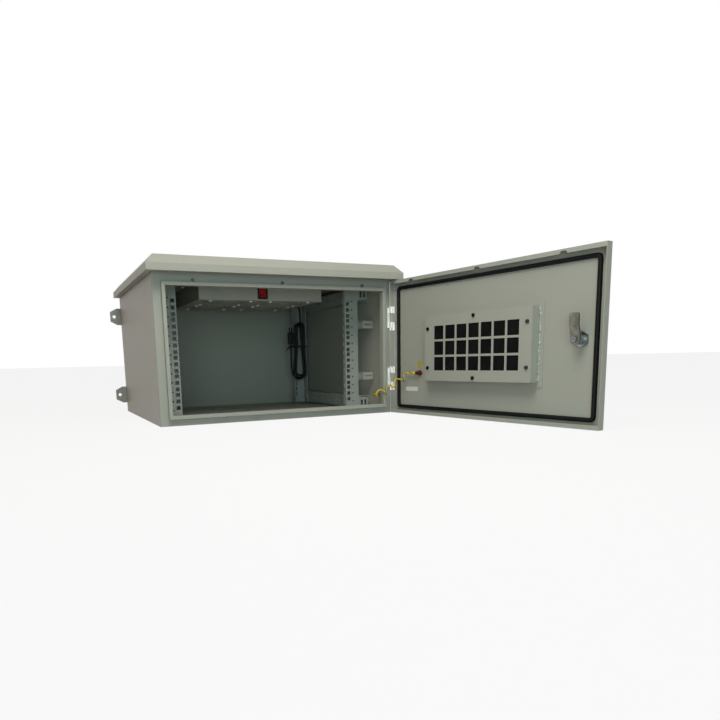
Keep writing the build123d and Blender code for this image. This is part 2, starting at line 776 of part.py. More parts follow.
def fan_rotor():
    """A fan's rotor: a cup with its shaft and pitched blades."""
    cup_high = fan_depth - hub_plate - hub_gap
    cup = plate_xy(Circle(hub_radius), rotor_lift, cup_high)
    cup -= plate_xy(Circle(hub_radius - hub_wall), rotor_lift + hub_wall, cup_high + overrun)
    cup += rod(shaft_radius, (0, 0, rotor_lift), (0, 0, rotor_lift + hub_wall + shaft_length))
    tip = duct_radius - blade_tip_gap
    span = plate_xy(Circle(tip) - Circle(hub_radius - hub_wall / 2), 0, fan_depth)
    middle = Pos((hub_radius + tip) / 2, 0, (rotor_lift + cup_high) / 2)
    blade = middle * Rot(blade_pitch, 0, 0) * Box(2 * (tip - hub_radius), blade_chord, blade_sheet)
    blade = blade & span & plate_xy(Rectangle(4 * tip, 2 * blade_chord), 0, fan_depth)
    blade = [solid for solid in blade.solids() if solid.center().X > 0][0]
    for i in range(blade_count):
        cup += Rot(0, 0, i * 360 / blade_count) * blade
    return cup


def fan_screws():
    """Screws through the tray into the fan frames."""
    length = tray_sheet + fan_flange + screw_end
    seats = [(x + dx, y + dy, tray_z) for x, y in fan_places for dx, dy in fan_screw_places]
    return group([screw(seat, (0, 0, 1), length) for seat in seats])


def switch_housing():
    """The switch's bezel and body, with a pocket and pivot holes for the rocker."""
    bezel = Pos(0, switch_z) * RectangleRounded(switch_width, switch_height, switch_bezel)
    housing = plate_xz(bezel, tray_front_y - switch_bezel, tray_front_y)
    half = switch_body_width / 2 - hole_clearance
    half_high = switch_body_height / 2 - hole_clearance
    body_end = tray_front_y + switch_body_depth
    housing += block(-half, half, tray_front_y, body_end, switch_z - half_high, switch_z + half_high)
    pocket_half = rocker_width / 2 + rocker_gap
    pocket_high = rocker_height / 2 + 2 * rocker_gap
    pocket_end = tray_front_y + rocker_pocket_depth
    pocket_z = (switch_z - pocket_high, switch_z + pocket_high)
    housing -= block(-pocket_half, pocket_half, tray_front_y - switch_bezel - overrun, pocket_end, *pocket_z)
    reach = rocker_width / 2 + rocker_pin_length + rocker_gap
    pivot_y = tray_front_y + rocker_pivot_depth
    bore = rocker_pin_radius + running_clearance
    return housing - rod(bore, (-reach, pivot_y, switch_z), (reach, pivot_y, switch_z))


def switch_rocker():
    """The rocker, with a dished face, on two pivot pins; one end is pressed in."""
    half = rocker_height / 2
    foot = half - rocker_dip
    outline = [(-rocker_rise, -half), (-rocker_dip, 0), (-rocker_rise, half)]
    outline += [(rocker_back, foot), (rocker_back, -foot)]
    rocker = plate_yz(Polygon(*outline, align=None), -rocker_width / 2, rocker_width / 2)
    reach = rocker_width / 2 + rocker_pin_length
    rocker += rod(rocker_pin_radius, (-reach, 0, 0), (reach, 0, 0))
    return Pos(0, tray_front_y + rocker_pivot_depth, switch_z) * Rot(-rocker_tilt, 0, 0) * rocker


def round_route(points):
    """A cord's path: straight runs joined by arcs as large as the runs allow; prints the radii."""
    places = [Vector(*point) for point in points]
    radii = []
    for before, corner, after in zip(places, places[1:], places[2:]):
        turn = math.radians((corner - before).get_angle(after - corner))
        shorter = min((corner - before).length, (after - corner).length)
        radii.append(arc_share * shorter / math.tan(turn / 2))
    print("cord radii", [round(radius, 1) for radius in radii])
    return FilletPolyline(*places, radius=radii)


def tube(radius, path):
    """A round tube along a path."""
    return sweep(Plane(origin=path @ 0, z_dir=path % 0) * Circle(radius), path=path)


hank_x = rail_inner_x + hank_rail_lap
hank_top_z = ceiling_z - hank_drop
hank_rear_y = rear_rail_y - rail_outer_return - hank_rail_gap
hank_y = hank_rear_y - hank_thickness / 2
hank_z = hank_top_z - hank_height / 2
hank_left_x = hank_x - hank_width / 2


def share_route(start, end, shares):
    """Points between two ends, each at its own share of the way in x, y and z."""
    return [tuple(a + s * (b - a) for a, b, s in zip(start, end, share)) for share in shares]


def cord_grommet():
    """The tapered strain relief in the tray's side."""
    half = tray_width / 2
    head = rod(grommet_radius, (half, grommet_y, grommet_z), (half + grommet_head, grommet_y, grommet_z))
    neck_start = (half - tray_sheet - grommet_head, grommet_y, grommet_z)
    neck = rod(grommet_tip_radius - hole_clearance, neck_start, (half, grommet_y, grommet_z))
    start = Plane(origin=(half + grommet_head, grommet_y, grommet_z), z_dir=(1, 0, 0))
    end = start.offset(grommet_length - grommet_head)
    return head + neck + loft([start * Circle(grommet_tip_radius), end * Circle(cord_radius)])


def cord_lead():
    """The free stretch of cord from the tray down into the top of the hank."""
    start = (tray_width / 2 + grommet_length, grommet_y, grommet_z)
    end = (hank_x - lead_inset, hank_rear_y - hank_thickness + lead_setback, hank_top_z - lead_drop)
    route = round_route(share_route(start, end, lead_shares))
    return tube(cord_radius, route) - cord_hank()


def cord_hank():
    """The folded cord, one closed solid of the hank's outer shape."""
    outline = Pos(hank_x, hank_z) * Rot(0, 0, 90) * SlotOverall(hank_height, hank_width)
    hank = plate_xz(outline, hank_rear_y - hank_thickness, hank_rear_y)
    sides = hank.faces().sort_by(Axis.Y)
    return fillet(sides[0].edges() + sides[-1].edges(), hank_round)


def cord_plug():
    """The moulded plug tucked beside the hank, with two round pins."""
    low = hank_top_z - tie_drop + plug_rise
    plug_y = (hank_y - plug_depth / 2, hank_y + plug_depth / 2)
    body = block(hank_left_x - plug_width, hank_left_x, *plug_y, low, low + plug_height)
    body = fillet(body.edges().filter_by(Axis.Z).group_by(Axis.X)[0], plug_round)
    middle = hank_left_x - plug_width / 2
    for side in (-1, 1):
        x = middle + side * pin_spread / 2
        body += rod(pin_radius, (x, hank_y, low + plug_height), (x, hank_y, low + plug_height + pin_length))
    return body


def cord_tie():
    """The cable tie round the hank, with its tail sticking out."""
    low = hank_top_z - tie_drop - tie_height / 2
    high = low + tie_height
    half = hank_width / 2
    hank_front_y = hank_rear_y - hank_thickness
    outer_half = half + tie_sheet
    tie_y = (hank_front_y - tie_sheet, hank_rear_y)
    tie = block(hank_x - outer_half, hank_x + outer_half, *tie_y, low, high)
    hole = (hank_x - half, hank_x + half, hank_front_y, hank_rear_y + overrun)
    tie -= block(*hole, low - overrun, high + overrun)
    start = hank_left_x - tie_sheet
    end = start - tie_tail
    corners = [(start, low), (start, high), (end, high - tie_tail_drop), (end, low - tie_tail_drop)]
    return tie + plate_xz(Polygon(*corners, align=None), hank_y - tie_sheet, hank_y)


def hinge_bracket(z):
    """The plated hinge half on the body: a leaf with an ear above and below the door's knuckle."""
    low = z - hinge_height / 2
    high = z + hinge_height / 2
    leaf_front = front_y - hinge_sheet
    bracket = block(hinge_x - hinge_leaf_width, half_width, leaf_front, front_y, low, high)
    ear = Pos(hinge_x, hinge_y) * Circle(ear_radius)
    ear += Pos(hinge_x, (hinge_y + leaf_front) / 2) * Rectangle(2 * ear_radius, leaf_front - hinge_y)
    ear -= Pos(hinge_x, hinge_y) * Circle(hinge_pin_radius + running_clearance)
    return bracket + plate_xy(ear, low, low + ear_height) + plate_xy(ear, high - ear_height, high)


def hinge_pin(z):
    """A hinge pin, headed above the upper ear and showing below the lower one."""
    low = z - hinge_height / 2 - hinge_pin_tail
    high = z + hinge_height / 2
    top = (hinge_x, hinge_y, high)
    pin = rod(hinge_pin_radius, (hinge_x, hinge_y, low), top)
    return pin + rod(hinge_pin_head_radius, top, along(top, (0, 0, 1), hinge_pin_head))


def hinge_leaf(z):
    """The hinge half on the door: a leaf welded to the skin and a knuckle on the pin."""
    half = hinge_height / 2 - ear_height - knuckle_gap
    profile = Pos(hinge_x, hinge_y) * Circle(knuckle_radius)
    arm_depth = hinge_y - door_skin_y
    arm_place = Pos(hinge_x - knuckle_radius / 2, hinge_y - arm_depth / 2)
    profile += arm_place * Rectangle(knuckle_radius, arm_depth)
    leaf_end = door_half - sheet
    leaf_start = hinge_x - leaf_reach
    leaf_place = Pos((leaf_start + leaf_end) / 2, door_skin_y + leaf_sheet / 2)
    profile += leaf_place * Rectangle(leaf_end - leaf_start, leaf_sheet)
    profile -= Pos(hinge_x, hinge_y) * Circle(hinge_pin_radius + running_clearance)
    return plate_xy(profile, z - half, z + half)


def door_panel():
    """The door: a folded pan with returns above and below, hinge cut-outs and an air intake."""
    pan = block(-door_half, door_half, door_front_y, door_lip_y, door_bottom, door_top_z)
    pan = fillet(pan.faces().sort_by(Axis.Y)[0].edges(), bend_radius)
    pan = offset(pan, amount=-sheet, openings=pan.faces().sort_by(Axis.Y)[-1])
    inside = door_half - sheet
    for low in (door_bottom, door_top_z - door_return):
        pan += block(-inside, inside, door_lip_y - sheet, door_lip_y, low, low + door_return)
    notch_top = door_top_z - door_return + notch_depth
    notch_low = door_top_z - door_return - overrun
    for x in frame_screw_xs:
        corners = [(x - notch_mouth / 2, notch_low), (x + notch_mouth / 2, notch_low)]
        corners += [(x + notch_width / 2, notch_top), (x - notch_width / 2, notch_top)]
        pan -= plate_xz(Polygon(*corners, align=None), door_lip_y - sheet - overrun, door_lip_y + overrun)
    for z in hinge_zs:
        low = z - hinge_height / 2 - hinge_pin_tail - hinge_cut_gap
        high = z + hinge_height / 2 + hinge_pin_head + hinge_cut_gap
        pan -= block(inside - overrun, door_half + overrun, door_skin_y, door_lip_y + overrun, low, high)
    lock_hole = Pos(lock_x, door_mid_z) * Circle(lock_radius + hole_clearance)
    pan -= plate_xz(lock_hole, door_front_y - overrun, door_skin_y + overrun)
    return louvred(pan)


def louvred(pan):
    """The air intake: rows of slots under pressed hoods in the outer skin, behind the filter."""
    for column in (-1, 1):
        middle = filter_shift + column * (louvre_width + louvre_gap) / 2
        edges = (middle - louvre_width / 2, middle + louvre_width / 2)
        inside = (edges[0] + louvre_sheet, edges[1] - louvre_sheet)
        for row in range(louvre_rows):
            z = filter_z + (row - (louvre_rows - 1) / 2) * louvre_pitch
            low = z - louvre_height
            hood_front = door_front_y - louvre_height
            slope = [(door_front_y, low), (hood_front, low), (door_front_y, z + louvre_height)]
            hood = plate_yz(Polygon(*slope, align=None), *edges)
            hollow = [(y, h - louvre_wall) for y, h in slope]
            hood -= plate_yz(Polygon(*hollow, align=None), *inside)
            pan -= block(*inside, door_front_y - overrun, door_skin_y + overrun, low, z)
            pan += hood
    return pan


def door_gasket():
    """The foamed gasket that meets the lip, rounded on top."""
    half = lip_outer_x + gasket_overlap
    low = lip_outer_low - gasket_overlap
    high = lip_outer_high + gasket_overlap
    place = Pos(0, (low + high) / 2)
    outline = place * RectangleRounded(2 * half, high - low, gasket_outer_corner)
    inside = (2 * (half - gasket_width), high - low - 2 * gasket_width)
    outline -= place * RectangleRounded(*inside, gasket_inner_corner)
    gasket = plate_xz(outline, door_skin_y, lip_front_y - gasket_lip_gap)
    return fillet(gasket.faces().sort_by(Axis.Y)[-1].edges(), gasket_round)


def filter_housing():
    """The filter's box on the door: walls with a foot flange below and a screw flange above."""
    half = filter_width / 2
    low = filter_z - filter_height / 2
    high = filter_z + filter_height / 2
    foot = (half + filter_foot, low - filter_foot, high + filter_foot)
    outer = (half, low, high)
    inner = (half - sheet, low + sheet, high - sheet)
    flange = (half - filter_flange, low + filter_flange, high - filter_flange)
    housing = ring_xz(foot, inner, door_skin_y, door_skin_y + sheet)
    housing += ring_xz(outer, inner, door_skin_y + sheet, plate_y)
    housing += ring_xz(inner, flange, plate_y - sheet, plate_y)
    housing = Pos(filter_shift, 0, 0) * housing
    for x, z in filter_screws:
        housing -= rod(screw_hole, (x, plate_y - sheet - overrun, z), (x, plate_y + overrun, z))
    return housing


def filter_grille():
    """The cover plate over the filter, with rows of square windows."""
    place = Pos(filter_shift, filter_z)
    plate = place * RectangleRounded(filter_width, filter_height, filter_corner)
    for column in range(window_columns):
        for row in range(window_rows):
            x = (column - (window_columns - 1) / 2) * window_pitch
            z = (row - (window_rows - 1) / 2) * window_pitch
            plate -= place * Pos(x, z) * Rectangle(window_size, window_size)
    plate -= [Pos(x, z) * Circle(screw_hole) for x, z in filter_screws]
    return plate_xz(plate, plate_y, filter_top_y)


def filter_foam():
    """The foam mat between the skin and the cover plate."""
    half = filter_width / 2 - filter_flange - foam_gap
    half_high = filter_height / 2 - filter_flange - foam_gap
    foam_x = (filter_shift - half, filter_shift + half)
    return block(*foam_x, door_skin_y, plate_y, filter_z - half_high, filter_z + half_high)


def filter_screw_set():
    """Screws that hold the cover plate."""
    seats = [(x, filter_top_y, z) for x, z in filter_screws]
    return group([screw(seat, (0, -1, 0), 2 * sheet + screw_end) for seat in seats])


lock_end_y = front_y + lip_tail + cam_gap - cam_crank


def lock_housing():
    """The lock's round housing through the skin, with its outer flange."""
    outside = (lock_x, door_front_y - lock_flange, door_mid_z)
    face = (lock_x, door_front_y, door_mid_z)
    end = (lock_x, lock_end_y, door_mid_z)
    housing = rod(lock_flange_radius, outside, face) + rod(lock_radius, face, end)
    bore = lock_rotor_radius + running_clearance
    return housing - rod(bore, along(outside, (0, -1, 0), overrun), along(end, (0, 1, 0), overrun))


def lock_nut():
    """The nut that clamps the housing to the skin."""
    start = (lock_x, door_skin_y, door_mid_z)
    end = (lock_x, door_skin_y + lock_nut_height, door_mid_z)
    bore = rod(lock_radius + running_clearance, start, along(end, (0, 1, 0), overrun))
    return hex_bar(lock_nut_flats, start, end) - bore


def lock_rotor():
    """The turning core of the lock with the bolt that holds the cam."""
    outside = (lock_x, door_front_y - lock_flange, door_mid_z)
    cam_seat = (lock_x, lock_end_y + lock_wall_gap, door_mid_z)
    cam_top = along(cam_seat, (0, 1, 0), cam_sheet)
    core = rod(lock_rotor_radius, outside, cam_seat) + rod(bolt_radius, cam_seat, cam_top)
    return core + hex_bar(bolt_head_flats, cam_top, along(cam_top, (0, 1, 0), bolt_head_height))


def lock_cam():
    """The cranked tongue that swings behind the lip; it points up while the lock is open."""
    round_end = cam_width / 2
    tongue = Pos(lock_x, door_mid_z + cam_reach / 2) * Rectangle(cam_width, cam_reach)
    tongue = fillet(tongue.vertices().group_by(Axis.Y)[-1], cam_corner)
    outline = tongue + Pos(lock_x, door_mid_z) * Circle(round_end)
    outline -= Pos(lock_x, door_mid_z) * Circle(bolt_radius + running_clearance)
    start = lock_end_y + lock_wall_gap
    levels = (-round_end, cam_bend_low, cam_bend_high, cam_reach)
    steps = (0, 0, cam_crank, cam_crank)
    near_edge = [(start + step, door_mid_z + level) for step, level in zip(steps, levels)]
    far_edge = [(y + cam_sheet, z) for y, z in reversed(near_edge)]
    crank = plate_yz(Polygon(*near_edge, *far_edge, align=None), lock_x - round_end, lock_x + round_end)
    return crank & plate_xz(outline, start - overrun, start + cam_crank + cam_sheet + overrun)


def door_earth_stud():
    """The earth stud on the door with its nut and the wire's terminal."""
    base = (door_stud_x, door_skin_y, door_stud_z)
    nut_top = along(base, (0, 1, 0), stud_nut_height)
    stud = rod(stud_radius, base, along(base, (0, 1, 0), stud_length))
    stud += hex_bar(stud_nut_flats, base, nut_top)
    half = terminal_width / 2
    tongue_end = door_stud_x + terminal_reach - terminal_barrel
    top = nut_top[1] + terminal_sheet
    stud += block(door_stud_x, tongue_end, nut_top[1], top, door_stud_z - half, door_stud_z + half)
    barrel_y = nut_top[1] + terminal_barrel_radius
    end = (door_stud_x + terminal_reach, barrel_y, door_stud_z)
    return stud + rod(terminal_barrel_radius, (tongue_end - half, barrel_y, door_stud_z), end)


def body_earth_stud():
    """The earth stud on the right side wall, behind the lip."""
    base = (inner_x, front_y + body_stud_setback, body_stud_z)
    nut = hex_bar(stud_nut_flats, base, along(base, (-1, 0, 0), stud_nut_height))
    return nut + rod(stud_radius, base, along(base, (-1, 0, 0), stud_length))


def earth_wire():
    """The curly earth wire: thin ends, and one fat tube of the outer size of its curls."""
    barrel_y = door_skin_y + stud_nut_height + terminal_barrel_radius
    start = (door_swing * Pos(door_stud_x + terminal_reach, barrel_y, door_stud_z)).position
    end = (inner_x - stud_length, front_y + body_stud_setback, body_stud_z)
    route = share_route(tuple(start), end, wire_shares)
    turn = math.radians(door_open_angle)
    barrel_run = (math.cos(turn), math.sin(turn), 0)
    route[1] = along(route[0], barrel_run, wire_lead_in)
    curls = share_route(tuple(start), end, curl_shares)
    return tube(wire_radius, round_route(route)) + tube(curl_radius, round_route(curls))


right_side = side_panel()
front_right_rail = front_rail()
lower_right_depth = depth_rail()
right_lacing = lacing_brackets()
frame_of_fan = fan_frame()
rotor_of_fan = fan_rotor()

pieces = {
    "right_side_panel": right_side,
    "left_side_panel": left_copy(right_side),
    "rear_panel": rear_panel(),
    "floor_panel": floor_panel(),
    "ceiling_panel": ceiling_panel(),
    "door_seal_frame": door_seal_frame(),
    "frame_screws": frame_screws(),
    "roof_cover": roof_cover(),
    "roof_spacers": roof_spacers(),
    "roof_bolts": roof_bolts(),
    "wall_lugs": group([wall_lug(side, z) for side in (-1, 1) for z in lug_levels]),
    "lug_bolts": lug_bolts(),
    "front_rail_right": front_right_rail,
    "front_rail_left": left_copy(front_right_rail),
    "rear_rail_right": rear_copy(front_right_rail),
    "rear_rail_left": left_copy(rear_copy(front_right_rail)),
    "depth_rail_lower_right": lower_right_depth,
    "depth_rail_lower_left": left_copy(lower_right_depth),
    "depth_rail_upper_right": upper_copy(lower_right_depth),
    "depth_rail_upper_left": left_copy(upper_copy(lower_right_depth)),
    "rail_bolts": rail_bolts(),
    "rail_nuts": rail_nuts(),
    "lacing_brackets_right": right_lacing,
    "lacing_brackets_left": left_copy(right_lacing),
    "fan_tray": fan_tray(),
    "tray_screws": tray_screws(),
    "fan_screws": fan_screws(),
    "switch_housing": switch_housing(),
    "switch_rocker": switch_rocker(),
    "cord_grommet": cord_grommet(),
    "cord_lead": cord_lead(),
    "cord_hank": cord_hank(),
    "cord_plug": cord_plug(),
    "cord_tie": cord_tie(),
    "hinge_brackets": group([hinge_bracket(z) for z in hinge_zs]),
    "hinge_pins": group([hinge_pin(z) for z in hinge_zs]),
    "body_earth_stud": body_earth_stud(),
    "earth_wire": earth_wire(),
}
for number, (x, y) in enumerate(fan_places, start=1):
    pieces[f"fan_frame_{number}"] = Pos(x, y, fan_z) * frame_of_fan
    pieces[f"fan_rotor_{number}"] = Pos(x, y, fan_z) * rotor_of_fan

door_pieces = {
    "door_panel": door_panel(),
    "door_gasket": door_gasket(),
    "filter_housing": filter_housing(),
    "filter_grille": filter_grille(),
    "filter_foam": filter_foam(),
    "filter_screws": filter_screw_set(),
    "lock_housing": lock_housing(),
    "lock_nut": lock_nut(),
    "lock_rotor": lock_rotor(),
    "lock_cam": lock_cam(),
    "door_earth_stud": door_earth_stud(),
    "hinge_leaves": group([hinge_leaf(z) for z in hinge_zs]),
}
for name, piece in door_pieces.items():
    pieces[name] = door_swing * piece

os.makedirs("parts", exist_ok=True)
for name, piece in pieces.items():
    export_step(piece, f"parts/{name}.step")
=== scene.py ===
import json
import math

import bmesh
import bpy
from mathutils import Euler, Matrix, Vector


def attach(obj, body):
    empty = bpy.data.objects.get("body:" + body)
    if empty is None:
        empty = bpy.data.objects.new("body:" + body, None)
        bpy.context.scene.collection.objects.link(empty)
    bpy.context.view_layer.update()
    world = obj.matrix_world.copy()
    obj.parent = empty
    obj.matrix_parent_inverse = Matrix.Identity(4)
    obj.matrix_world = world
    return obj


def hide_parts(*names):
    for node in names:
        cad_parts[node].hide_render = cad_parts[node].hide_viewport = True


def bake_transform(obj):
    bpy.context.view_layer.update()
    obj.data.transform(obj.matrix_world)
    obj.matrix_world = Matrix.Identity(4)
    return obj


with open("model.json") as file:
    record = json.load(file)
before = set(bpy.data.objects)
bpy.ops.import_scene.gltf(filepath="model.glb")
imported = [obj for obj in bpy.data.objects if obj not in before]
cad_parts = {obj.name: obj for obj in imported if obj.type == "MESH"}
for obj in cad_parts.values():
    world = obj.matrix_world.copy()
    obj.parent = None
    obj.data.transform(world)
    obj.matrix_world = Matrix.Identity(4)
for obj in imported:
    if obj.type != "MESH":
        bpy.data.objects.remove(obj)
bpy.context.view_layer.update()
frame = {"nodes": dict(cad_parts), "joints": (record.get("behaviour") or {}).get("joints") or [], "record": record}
nodes = frame["nodes"]
MM = 0.001
UP = Vector((0.0, 0.0, 1.0))

# Camera, at the photograph's viewing point
camera_place = Vector((-0.53336, -1.66497, 0.14040))
camera_turn = (80.640, 1.319, -25.050)
camera_lens = 30.484
camera_sensor = 36.0
camera_shift = (0.04671, 0.13902)

# Door swing and the faces that small pieces sit on, in millimetres
door_hinge = next(joint for joint in frame["joints"] if joint["name"] == "door_hinge")
hinge_place = Vector([length / MM for length in door_hinge["pos_m"]])
door_open_angle = -math.radians(door_hinge["range_deg"][0])
door_skin_y = -298.0
rail_face_y = -167.0
door_turn = Matrix.Rotation(door_open_angle, 4, "Z")
to_door = Matrix.Translation(hinge_place) @ door_turn @ Matrix.Translation(-hinge_place)

# Shares that make the lighter and darker tones of a finish
speckle_share = 0.9
mottle_share = 0.93
rubbed_share = 1.25


# Procedural finishes
def link(tree, source, target):
    """Joins one socket to another."""
    tree.links.new(source, target)


def noise(tree, place, scale, detail=3.0):
    """A noise texture in the part's own coordinates."""
    node = tree.nodes.new("ShaderNodeTexNoise")
    node.inputs["Scale"].default_value = scale
    node.inputs["Detail"].default_value = detail
    link(tree, place, node.inputs["Vector"])
    return node.outputs["Fac"]


def cells(tree, place, scale):
    """A cell texture in the part's own coordinates."""
    node = tree.nodes.new("ShaderNodeTexVoronoi")
    node.inputs["Scale"].default_value = scale
    link(tree, place, node.inputs["Vector"])
    return node.outputs["Distance"]


def spread(tree, value, low, high, start=0.3, end=0.7):
    """Part of a texture's range, stretched from low to high."""
    node = tree.nodes.new("ShaderNodeMapRange")
    node.inputs["From Min"].default_value = start
    node.inputs["From Max"].default_value = end
    node.inputs["To Min"].default_value = low
    node.inputs["To Max"].default_value = high
    link(tree, value, node.inputs["Value"])
    return node.outputs["Result"]


def mixed(tree, factor, first, second):
    """One colour turning into another."""
    node = tree.nodes.new("ShaderNodeMix")
    node.data_type = "RGBA"
    link(tree, factor, node.inputs["Factor"])
    colours = [socket for socket in node.inputs if socket.type == "RGBA"]
    for socket, colour in zip(colours, (first, second)):
        if isinstance(colour, bpy.types.NodeSocket):
            link(tree, colour, socket)
        else:
            socket.default_value = (*colour, 1.0)
    return [socket for socket in node.outputs if socket.type == "RGBA"][0]


def toned(colour, share):
    """A colour made darker or lighter."""
    return [share * level for level in colour]


def new_material(name):
    """An empty material, with its node tree, its surface shader and its place in the part."""
    material = bpy.data.materials.new(name)
    material.use_nodes = True
    tree = material.node_tree
    place = tree.nodes.new("ShaderNodeTexCoord").outputs["Object"]
    return material, tree, tree.nodes["Principled BSDF"], place


def relief_on(tree, surface, height, depth, strength=0.6):
    """Raises the surface by a texture, to a depth in millimetres."""
    bump = tree.nodes.new("ShaderNodeBump")
    bump.inputs["Distance"].default_value = depth * MM
    bump.inputs["Strength"].default_value = strength
    link(tree, height, bump.inputs["Height"])
    link(tree, bump.outputs["Normal"], surface.inputs["Normal"])


def finish(
    name, colour, drift, drift_scale, rough, grain_scale, relief, metallic=0.0, gloss=0.5, open_cells=False
):
    """A material whose colour drifts slowly and whose grain shows in its gloss and its relief."""
    material, tree, surface, place = new_material(name)
    grain = cells(tree, place, grain_scale) if open_cells else noise(tree, place, grain_scale)
    drifting = spread(tree, noise(tree, place, drift_scale), low=0.0, high=1.0)
    base = mixed(tree, drifting, colour, drift)
    speckled = mixed(tree, spread(tree, grain, low=0.0, high=0.4), base, toned(colour, speckle_share))
    link(tree, speckled, surface.inputs["Base Color"])
    link(tree, spread(tree, grain, *rough), surface.inputs["Roughness"])
    relief_on(tree, surface, grain, relief)
    surface.inputs["Metallic"].default_value = metallic
    surface.inputs["Specular IOR Level"].default_value = gloss
    return material


def powder_coat(name, colour, dusty, rough, gloss=0.25, relief=0.09):
    """Baked powder paint: orange-peel relief, a dusty bloom and a few pale rubbed specks."""
    material, tree, surface, place = new_material(name)
    peel = noise(tree, place, scale=700.0, detail=2.0)
    bloom = spread(tree, noise(tree, place, scale=4.0, detail=4.0), low=0.0, high=0.7)
    base = mixed(tree, bloom, colour, dusty)
    base = mixed(tree, spread(tree, peel, low=0.0, high=0.5), base, toned(colour, mottle_share))
    wear = noise(tree, place, scale=240.0, detail=4.0)
    specks = spread(tree, wear, low=0.0, high=0.5, start=0.69, end=0.74)
    link(tree, mixed(tree, specks, base, toned(colour, rubbed_share)), surface.inputs["Base Color"])
    link(tree, spread(tree, peel, *rough), surface.inputs["Roughness"])
    surface.inputs["Specular IOR Level"].default_value = gloss
    relief_on(tree, surface, peel, relief)
    return material


def striped_insulation(name, yellow, worn_yellow, green, worn_green, relief=0.05):
    """Yellow wire covering with a green stripe along it."""
    material, tree, surface, place = new_material(name)
    stripe = tree.nodes.new("ShaderNodeAttribute")
    stripe.attribute_name = "stripe"
    grain = noise(tree, place, scale=900.0)
    ground = mixed(tree, spread(tree, grain, low=0.0, high=1.0), yellow, worn_yellow)
    band = mixed(tree, spread(tree, grain, low=0.0, high=1.0), green, worn_green)
    edge = spread(tree, stripe.outputs["Fac"], low=0.0, high=1.0, start=0.4, end=0.6)
    link(tree, mixed(tree, edge, ground, band), surface.inputs["Base Color"])
    link(tree, spread(tree, grain, low=0.3, high=0.45), surface.inputs["Roughness"])
    relief_on(tree, surface, grain, relief)
    return material


def metal(name, colour, drift, drift_scale, rough, relief, metallic=1.0):
    """A plated or bare metal with a fine grain."""
    return finish(
        name, colour, drift, drift_scale, rough, grain_scale=900.0, relief=relief, metallic=metallic
    )


def plastic(name, colour, drift, rough, relief, gloss=0.5):
    """A moulded plastic or rubber with a fine grain."""
    return finish(
        name, colour, drift, drift_scale=60.0, rough=rough, grain_scale=1300.0, relief=relief, gloss=gloss
    )


# The finish of each material slot
black = (0.010, 0.010, 0.010)
finishes = {
    "paint": powder_coat("paint", (0.342, 0.345, 0.300), (0.372, 0.37, 0.322), rough=(0.38, 0.55)),
    "rail_paint": powder_coat("rail_paint", (0.32, 0.345, 0.315), (0.29, 0.31, 0.285), rough=(0.35, 0.5)),
    "zinc": metal(
        "zinc", (0.46, 0.48, 0.48), (0.32, 0.34, 0.35), drift_scale=60.0, rough=(0.18, 0.42), relief=0.05
    ),
    "fan_black": plastic(
        "fan_black", (0.020, 0.020, 0.021), (0.030, 0.030, 0.030), rough=(0.4, 0.6), relief=0.05, gloss=0.3
    ),
    "gasket": plastic(
        "gasket", (0.003, 0.003, 0.003), (0.006, 0.006, 0.006), rough=(0.3, 0.55), relief=0.15, gloss=0.12
    ),
    "foam": finish(
        "foam", (0.004, 0.004, 0.004), black, drift_scale=40.0, rough=(0.85, 1.0), grain_scale=800.0,
        relief=1.2, gloss=0.05, open_cells=True,
    ),
    "switch_black": plastic(
        "switch_black", (0.006, 0.006, 0.006), black, rough=(0.35, 0.55), relief=0.04, gloss=0.2
    ),
    "rocker_red": plastic(
        "rocker_red", (0.38, 0.007, 0.012), (0.28, 0.005, 0.008), rough=(0.15, 0.3), relief=0.02
    ),
    "cord": plastic("cord", (0.005, 0.005, 0.005), black, rough=(0.4, 0.6), relief=0.05, gloss=0.25),
    "tie": plastic("tie", (0.006, 0.006, 0.006), black, rough=(0.35, 0.55), relief=0.04, gloss=0.3),
    "earth_metal": metal(
        "earth_metal", (0.30, 0.10, 0.055), (0.20, 0.07, 0.04),
        drift_scale=150.0, rough=(0.25, 0.5), relief=0.05,
    ),
    "earth_insulation": striped_insulation(
        "earth_insulation", (0.62, 0.42, 0.01), (0.52, 0.34, 0.01), (0.06, 0.20, 0.03), (0.04, 0.15, 0.02)
    ),
}

# Finishes for single nodes that differ from the rest of their slot, for stickers and for sealant
# Near-white plate whose whiteness is a painted highlight: it stands in for bright glare reflected off the zinc
# hinge brackets, and the fan and tray screws take it too
painted_glare_plate = metal(
    "painted_glare_plate", (0.95, 0.95, 0.91), (0.88, 0.88, 0.84),
    drift_scale=80.0, rough=(0.4, 0.6), relief=0.04, metallic=0.2,
)
dull_steel = metal(
    "dull_steel", (0.12, 0.12, 0.095), (0.26, 0.26, 0.22), drift_scale=70.0, rough=(0.25, 0.45), relief=0.06
)
dark_steel = metal(
    "dark_steel", (0.05, 0.048, 0.044), (0.09, 0.088, 0.08),
    drift_scale=200.0, rough=(0.12, 0.25), relief=0.04,
)
blue_zinc = metal(
    "blue_zinc", (0.30, 0.33, 0.34), (0.18, 0.20, 0.21), drift_scale=120.0, rough=(0.12, 0.3), relief=0.05
)
dark_zinc = metal(
    "dark_zinc", (0.13, 0.145, 0.15), (0.30, 0.33, 0.34), drift_scale=160.0, rough=(0.12, 0.3), relief=0.05
)
sticker_white = plastic(
    "sticker_white", (0.72, 0.70, 0.66), (0.66, 0.64, 0.60), rough=(0.4, 0.55), relief=0.02
)
sticker_yellow = plastic(
    "sticker_yellow", (0.50, 0.36, 0.01), (0.42, 0.30, 0.01), rough=(0.35, 0.5), relief=0.02
)
sealant = plastic("sealant", (0.34, 0.36, 0.32), (0.42, 0.44, 0.39), rough=(0.06, 0.2), relief=0.3)
